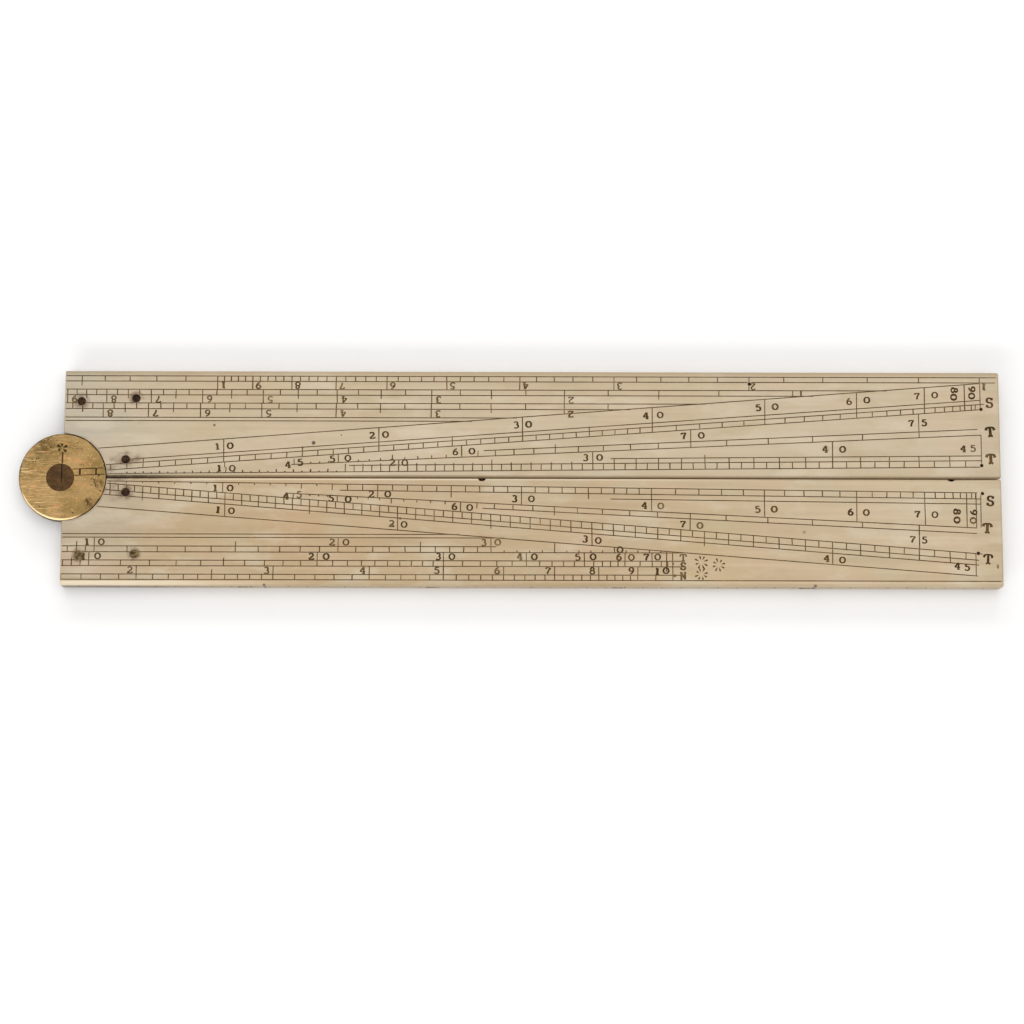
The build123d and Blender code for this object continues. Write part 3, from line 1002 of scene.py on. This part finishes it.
def ivory(name, tones, outer_shade, edge_shade, edge_highlights, pin_stains, rim_stains, spots, shift):
    """Old polished ivory: uneven yellowing, faint lengthwise grain, and brown stains where it meets metal.

    tones are the colours at the joint, along the middle and at the tip. outer_shade yellows the outer half,
    edge_shade paints shade on the long outer edge and roughens it. Where edge_highlights is true, highlights
    are painted on the front's edges and shade low on the outer side; where false, shade along the inner edge.
    A pin's stain is (x, y, reach), one at the disc (x, y, reach, amount), a spot (x, y, radius, amount)."""
    f = Finish(name)
    at_joint, along, at_tip = tones
    aside = f.maths("ABSOLUTE", f.y)
    front = f.ramp(f.z, 3.35, 3.6)
    cloud = f.noise((1.6, 1.3, 2), 5, 0.6, shift + 3)
    colour = f.mix(f.ramp(f.x, 22, 2), along, at_joint)
    colour = f.mix(f.ramp(f.x, 80, 135), colour, at_tip)
    colour = f.tint(colour, (172, 144, 98), outer_shade, f.ramp(aside, 5, 14))
    colour = f.tint(colour, (142, 122, 92), 0.16, f.ramp(f.x, 144, 151))
    warm = f.times(f.near(40, -7, 3, 15), f.clouds((9, 4, 4), 0.28, 0.58, shift=shift + 15))
    colour = f.tint(colour, (180, 142, 98), 0.55, warm)
    yellow = f.times(f.near(106, -13, 2, 12), f.clouds((7, 3, 4), 0.3, 0.6, shift=shift + 18))
    colour = f.tint(colour, (182, 156, 104), 0.55, yellow)

    # Patches all over: brownish, greenish, pinkish, pale and dull
    for pitch, low, high, detail, rough, offset, shade, amount in (
            ((38, 7, 8), 0.36, 0.66, 3, 0.55, 0, (176, 152, 116), 0.35),
            ((8, 4, 3), 0.46, 0.7, 3, 0.55, 4, (178, 168, 138), 0.34),
            ((9, 4, 3), 0.46, 0.7, 3, 0.55, 9, (196, 166, 140), 0.3),
            ((13, 5, 4), 0.5, 0.66, 4, 0.6, 22, (200, 188, 164), 0.4),
            ((9, 3.5, 4), 0.52, 0.68, 4, 0.6, 25, (170, 148, 110), 0.4)):
        colour = f.tint(colour, shade, amount, f.clouds(pitch, low, high, detail, rough, shift + offset))
    streak = f.clouds((34, 1.1, 0.7), 0.32, 0.68, 5, 0.62, shift + 2)
    colour = f.mix(0.07, colour, f.mix(streak, srgb(120, 102, 76), srgb(232, 216, 188)))
    colour = f.tint(colour, (136, 114, 84), 0.12, f.clouds((8, 0.1, 0.2), 0.62, 0.78, 3, 0.6, shift + 6))
    colour = f.tint(colour, (136, 108, 72), 0.22, f.clouds((5, 4, 4), 0.58, 0.8, 6, 0.65, shift + 12))
    # Painted shade along the long outer edge, which is also made rougher there
    handled = f.times(f.ramp(aside, 16.8, 17.1), edge_shade)
    colour = f.mix(handled, colour, srgb(140, 116, 78))

    # Stains round the leaf pins and the disc, and specks of dirt
    for x, y, reach in pin_stains:
        stain = f.times(f.near(x, y, 0.7, reach), f.ramp(cloud, 0.3, 0.58))
        colour = f.tint(colour, (96, 62, 18), 0.85, stain)
        colour = f.tint(colour, (44, 26, 4), 0.85, f.near(x, y, 0.66, 0.8))
    for x, y, reach, amount in rim_stains:
        stain = f.times(f.near(x, y, 0.1, reach), f.ramp(cloud, 0.35, 0.62))
        colour = f.tint(colour, (90, 56, 18), amount, stain)
    colour = f.tint(colour, (92, 70, 44), 0.5, f.times(f.near(0, 0, 7.1, 7.7), f.ramp(cloud, 0.3, 0.6)))
    colour = f.tint(colour, (66, 46, 24), 0.75, f.specks(5.5, 0.22, 0.16, shift))

    # The long edges: painted highlights and shade, painted light between the legs, and dirt at the joint
    inner = f.times(f.ramp(aside, 0.5, 0.3), front)
    if edge_highlights:
        # Painted highlights along the front's outer edge, strongest near the joint end, and along its inner
        # edge
        held = f.maths("ADD", f.times(f.ramp(f.x, 46, 6), 0.75), f.times(f.ramp(f.x, 90, 135), 0.15))
        outer = f.times(f.times(f.ramp(aside, 16.8, 17.15), held), front)
        inner = f.times(inner, f.times(f.ramp(f.x, 12, 24), f.ramp(f.x, 125, 90)))
        colour = f.mix(f.maths("MAXIMUM", outer, f.times(inner, 0.6)), colour, srgb(240, 222, 192))
        # Painted shade low on the outer side near the joint end, darkest towards the floor
        side = f.times(f.times(f.ramp(aside, 17.25, 17.45), f.ramp(f.z, 3.3, 2.2)), f.ramp(f.x, 34, 6))
        colour = f.tint(colour, (88, 68, 44), 0.75, side)
    else:
        # Painted shade along the inner edge, beside the gap
        colour = f.tint(colour, (112, 86, 54), 0.45, inner)
    # Painted light on the faces between the legs, which brightens the gap
    painted_gap_light = f.times(f.ramp(aside, 0.3, 0.14), f.ramp(f.z, 3.75, 3.5))
    colour = f.tint(colour, (238, 220, 190), 0.8, painted_gap_light)
    joint_dirt = f.times(f.times(f.ramp(aside, 0.5, 0.2), f.ramp(f.x, 19, 12)), front)
    colour = f.tint(colour, (56, 40, 20), 0.6, f.times(joint_dirt, f.ramp(cloud, 0.3, 0.55)))
    for x, y, radius, amount in spots:
        colour = f.tint(colour, (58, 32, 6), amount, f.near(x, y, radius * 0.5, radius))
    f.bump(f.clouds((5, 0.07, 0.2), 0.69, 0.75, 2, 0.5, shift + 20), -0.006, 0.5)
    f.bump(f.noise((10, 0.6, 0.6), 4, 0.6, shift), 0.01, 0.3)
    rough = f.node("ShaderNodeMapRange", {"Value": cloud, "To Min": 0.3, "To Max": 0.44}).outputs[0]
    return f.done(colour, f.maths("ADD", rough, f.times(handled, 0.8)))


def ink(name, dark, worn, red_amount=0.0):
    """Ink and dirt in an engraved line, thinner in some places than in others, and reddened in a few."""
    f = Finish(name, roughness=0.8)
    f.shader.inputs["Specular IOR Level"].default_value = 0.15
    thin = f.clouds((6, 3, 3), 0.42, 0.72, 4, 0.6, 3)
    patchy = f.clouds((0.6, 0.6, 0.6), 0.35, 0.75, 2, 0.6, 8)
    colour = f.mix(f.maths("ADD", f.times(thin, 0.6), f.times(patchy, 0.4)), dark, worn)
    colour = f.tint(colour, (140, 98, 60), red_amount, f.clouds((5, 3, 3), 0.62, 0.72, 2, 0.5, 15))
    f.bump(f.noise((0.12, 0.12, 0.12), 3), 0.01, 0.5)
    return f.done(colour)


def old_brass(name, bright, dull, shift, patina_spots=()):
    """Brass filed flush and long handled: brushed along the leg, with brown patina and a few dark spots."""
    f = Finish(name, metallic=1.0, roughness=0.4)
    brush = f.noise((3.5, 0.05, 0.05), 4, 0.6, shift)
    colour = f.mix(f.clouds((5, 3.5, 4), 0.36, 0.66, 4, 0.6, shift + 1), bright, dull)
    colour = f.tint(colour, (120, 92, 50), 0.4, f.ramp(brush, 0.42, 0.66))
    tarnish = f.clouds((0.9, 0.7, 0.8), 0.55, 0.72, 6, 0.7, shift + 5)
    colour = f.tint(colour, (92, 72, 44), 0.4, tarnish)
    scratched = f.clouds((2.4, 0.07, 0.07), 0.55, 0.68, 3, 0.6, shift + 30)
    colour = f.tint(colour, (240, 204, 150), 0.9, f.times(scratched, f.ramp(f.x, 3, -4)))

    # Bright flecks, dark pits and rosy patches
    for pitch, low, high, rough, offset, shade, amount in (
            ((0.22, 0.3, 0.2), 0.58, 0.7, 0.7, 33, (236, 200, 146), 0.55),
            ((0.3, 0.36, 0.25), 0.58, 0.72, 0.7, 36, (88, 62, 32), 0.5),
            ((1.4, 1.1, 1.4), 0.52, 0.7, 0.6, 40, (192, 140, 92), 0.45)):
        colour = f.tint(colour, shade, amount, f.clouds(pitch, low, high, 4, rough, shift + offset))
    mottle = f.clouds((0.8, 0.5, 0.8), 0.3, 0.6, 4, 0.65, shift + 7)
    for x, y, reach, amount in patina_spots:
        colour = f.tint(colour, (74, 54, 30), amount, f.times(f.near(x, y, reach * 0.2, reach), mottle))

    # The rim: dirt in it, a dull side that is darkest at the bottom, and a painted highlight on the edge
    # above it there
    rim = f.vector("LENGTH", f.vector("MULTIPLY", f.place, (1, 1, 0)))
    worn = f.noise((1.2, 1.2, 1.2), 3, 0.6, shift + 2)
    colour = f.tint(colour, (70, 52, 28), 0.7, f.ramp(f.maths("ADD", rim, worn), 7.35, 7.6))
    side = f.times(f.ramp(rim, 6.8, 6.84), f.ramp(f.z, 3.75, 3.5))
    colour = f.tint(colour, (128, 112, 84), 0.3, side)
    colour = f.tint(colour, (78, 58, 34), 0.5, f.times(side, f.ramp(f.y, -3.5, -6)))
    # Painted highlight along the top edge of the rim at the lower left
    polished = f.times(f.ramp(rim, 6.78, 6.92), f.ramp(f.maths("ADD", f.times(f.x, 0.4), f.y), -4.5, -6.5))
    colour = f.tint(colour, (255, 226, 172), 0.9, f.times(polished, f.ramp(f.z, 3.5, 3.75)))
    f.bump(brush, 0.012, 0.5)
    f.bump(f.specks(0.7, 0.1, 0.4, shift), -0.02, 0.6)
    rough = f.node("ShaderNodeMapRange", {"Value": brush, "To Min": 0.34, "To Max": 0.55}).outputs[0]
    return f.done(colour, rough)


def dark_metal(name, dark, brown, shift, roughness=0.5, metallic=0.8, grain=0.9):
    """Iron or steel gone brown, with file marks and pitting. metallic is 0 where rust or dirt covers it."""
    f = Finish(name, metallic=metallic, roughness=roughness)
    if metallic < 0.1:
        f.shader.inputs["Specular IOR Level"].default_value = 0.2
    colour = f.mix(f.clouds((grain, grain * 0.7, grain), 0.38, 0.66, 5, 0.65, shift), dark, brown)
    brush = f.noise((2.5, 0.05, 0.05), 3, 0.6, shift + 2)
    colour = f.mix(f.times(f.ramp(brush, 0.5, 0.7), 0.35), colour, brown)
    f.bump(brush, 0.012, 0.5)
    f.bump(f.noise((0.25, 0.25, 0.25), 4, 0.6, shift + 4), 0.02, 0.6)
    return f.done(colour)


IVORY_UPPER = (srgb(172, 162, 142), srgb(184, 165, 134), srgb(186, 168, 138))
IVORY_LOWER = (srgb(164, 149, 125), srgb(174, 148, 109), srgb(186, 165, 132))

upper_pin_stains = [(*pin, reach) for pin, reach in zip(upper_leaf_pins, (1.7, 1.5, 1.9))]
lower_pin_stains = [(*pin, reach) for pin, reach in zip(lower_leaf_pins, (1.5, 1.4, 1.7))]
ivory_upper = ivory(
    "aged_ivory_upper", IVORY_UPPER, outer_shade=0.1, edge_shade=0.2, edge_highlights=False, pin_stains=upper_pin_stains,
    rim_stains=[(8.0, 2.5, 1.6, 0.8), (12.2, 3.0, 1.5, 0.5), (7.5, 1.2, 1.3, 0.7), (11.7, 2.9, 0.9, 0.6)],
    spots=[(24.5, 8.6, 0.28, 0.8), (40.7, 5.7, 0.42, 0.95), (45.2, 7.0, 0.17, 0.8), (124.0, 4.9, 0.8, 0.25)],
    shift=1.0)
ivory_lower = ivory(
    "aged_ivory_lower", IVORY_LOWER, outer_shade=0.3, edge_shade=0.0, edge_highlights=True, pin_stains=lower_pin_stains,
    rim_stains=[(8.2, -2.6, 2.0, 0.7), (12.3, -2.7, 1.6, 0.5), (7.1, -2.3, 0.6, 1.0), (9, -0.9, 1.4, 0.6)],
    spots=[(54.9, -6.7, 0.3, 0.75), (53.7, -7.9, 0.32, 0.85), (120.3, -8.8, 0.36, 0.45),
           (151.5, -14.2, 0.25, 0.8), (151.5, -14.5, 0.25, 0.8), (33, -17.6, 0.3, 0.8),
           (122, -17.6, 0.35, 0.8)],
    shift=31.0)
line_ink = ink("ink_in_lines", srgb(76, 57, 30), srgb(136, 112, 76), red_amount=0.2)
figure_ink = ink("ink_in_figures", srgb(58, 41, 17), srgb(112, 84, 46), red_amount=0.15)
brass_ink = ink("dirt_in_brass", srgb(48, 34, 18), srgb(84, 62, 34))
steel_ink = ink("dirt_in_steel", srgb(30, 20, 12), srgb(66, 48, 28))
brass_front = old_brass("old_brass_front", srgb(158, 130, 86), srgb(128, 106, 64), shift=2.0, patina_spots=[
    (-3.4, 5.2, 3.0, 0.7), (4.4, -4.2, 1.3, 0.8), (6.0, -1.2, 1.2, 0.8)])
brass_back = old_brass("old_brass_back", srgb(176, 146, 102), srgb(148, 120, 78), shift=17.0, patina_spots=[
    (2.5, 4.5, 2.0, 0.7)])
brass_middle = old_brass("dull_brass_middle", srgb(150, 130, 96), srgb(120, 102, 74), shift=29.0)
pin_steel = dark_metal("browned_pin_steel", srgb(66, 46, 22), srgb(88, 62, 34), shift=3.0)
dowel_steel = dark_metal("browned_dowel_steel", srgb(60, 44, 28), srgb(96, 70, 44), shift=11.0)
leaf_pin_iron = dark_metal("dark_leaf_pin_iron", srgb(16, 9, 2), srgb(66, 44, 19), shift=19.0,
                           roughness=0.8, metallic=0.0, grain=0.5)
worn_leaf_pin = dark_metal("worn_leaf_pin_iron", srgb(40, 28, 9), srgb(130, 108, 68), shift=37.0,
                           roughness=0.7, metallic=0.0, grain=0.6)
wear_pin_black = dark_metal("blackened_wear_pin", srgb(26, 15, 5), srgb(62, 42, 20), shift=23.0,
                            roughness=0.8, metallic=0.0)

# ---- the pieces

FRONT, BACK = Vector((0, 0, 1)), Vector((0, 0, -1))
UP, DOWN = Vector((0, 1, 0)), Vector((0, -1, 0))
ALONG = Vector((1, 0, 0))

engraved("upper_leg", "upper_arm", [ivory_upper, line_ink, figure_ink],
         [(FRONT, ALONG, upper_front()), (BACK, ALONG, back_face(37, -1)), (UP, -ALONG, edge_scale(43, -1))])
engraved("lower_leg", "lower_arm", [ivory_lower, line_ink, figure_ink],
         [(FRONT, ALONG, lower_front()), (BACK, ALONG, back_face(41, 1)), (DOWN, ALONG, edge_scale(47, 1))])
engraved("front_cheek_plate", "upper_arm", [brass_front, brass_ink], [(FRONT, ALONG, cheek_marks())])
engraved("back_cheek_plate", "upper_arm", [brass_back, brass_ink],
         [(BACK, ALONG, back_cheek_marks())])
engraved("centre_pin", "upper_arm", [pin_steel, steel_ink], [(FRONT, ALONG, pin_marks())])

for name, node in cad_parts.items():
    if name == "middle_plate":
        finish = brass_middle
    elif name in ("lower_leaf_pin_1", "lower_leaf_pin_2"):
        finish = worn_leaf_pin
    elif "leaf_pin" in name:
        finish = leaf_pin_iron
    elif "wear_pin" in name:
        finish = wear_pin_black
    elif "dowel" in name:
        finish = dowel_steel
    else:
        continue
    for material_slot in node.material_slots:
        material_slot.material = finish

# ---- floor, light and camera

FLOOR_SPAN = 3.0
FLOOR_DROP = 0.05 * MM  # just below the rule's back face, so that the two don't share a plane


def floor():
    half = FLOOR_SPAN / 2
    mesh = bpy.data.meshes.new("floor")
    corners = [(-half, -half, 0), (half, -half, 0), (half, half, 0), (-half, half, 0)]
    mesh.from_pydata(corners, [], [(0, 1, 2, 3)])
    plane = bpy.data.objects.new("floor", mesh)
    plane.location.z = -FLOOR_DROP
    bpy.context.scene.collection.objects.link(plane)
    f = Finish("pale_floor", roughness=0.9)
    pale = f.mix(f.noise((40, 40, 40), 2), (0.88, 0.88, 0.885, 1), (0.9, 0.9, 0.905, 1))
    mesh.materials.append(f.done(pale))


def softbox(name, place, aim, size, power):
    """A rectangular light at place, size metres across, that points at aim."""
    light = bpy.data.lights.new(name, "AREA")
    light.shape = "RECTANGLE"
    light.size, light.size_y = size
    light.energy = power
    lamp = bpy.data.objects.new(name, light)
    lamp.location = place
    lamp.rotation_euler = (Vector(aim) - Vector(place)).to_track_quat("-Z", "Y").to_euler()
    bpy.context.scene.collection.objects.link(lamp)


def white_surround(strength):
    world = bpy.data.worlds.new("studio")
    world.use_nodes = True
    background = world.node_tree.nodes["Background"]
    background.inputs["Color"].default_value = (1.0, 0.99, 0.97, 1)
    background.inputs["Strength"].default_value = strength
    bpy.context.scene.world = world


def camera():
    """Nearly overhead, from the lower leg's side, with the whole rule across the frame."""
    elevation = math.radians(CAMERA_ELEVATION)
    back = Vector((0, -math.cos(elevation), math.sin(elevation)))
    lens = bpy.data.cameras.new("camera")
    lens.lens = CAMERA_LENS
    lens.clip_start, lens.clip_end = 0.01, 10
    eye = bpy.data.objects.new("camera", lens)
    eye.location = CAMERA_AIM + back * CAMERA_DISTANCE
    level = back.to_track_quat("Z", "Y")
    eye.rotation_euler = (level @ Quaternion((0, 0, 1), math.radians(CAMERA_ROLL))).to_euler()
    bpy.context.scene.collection.objects.link(eye)
    bpy.context.scene.camera = eye


CAMERA_ELEVATION = 81.2
CAMERA_DISTANCE = 0.428
CAMERA_LENS = 92
CAMERA_ROLL = 0.133
MIDDLE = 0.073  # x of the rule's middle, in metres
CAMERA_AIM = Vector((MIDDLE, -0.00499, 0))

centre = (MIDDLE, 0, 0)
floor()
white_surround(0.5)
softbox("overhead", (0.21, 0.12, 1.1), centre, (1.2, 0.9), 6.5)
softbox("back_strip", (0.02, 0.8, 0.55), centre, (0.9, 0.2), 2.1)
softbox("front_strip", (-0.2, -0.6, 0.45), (0.0, 0, 0), (0.6, 0.12), 1.75)
camera()

bpy.context.scene.view_settings.view_transform = "Standard"
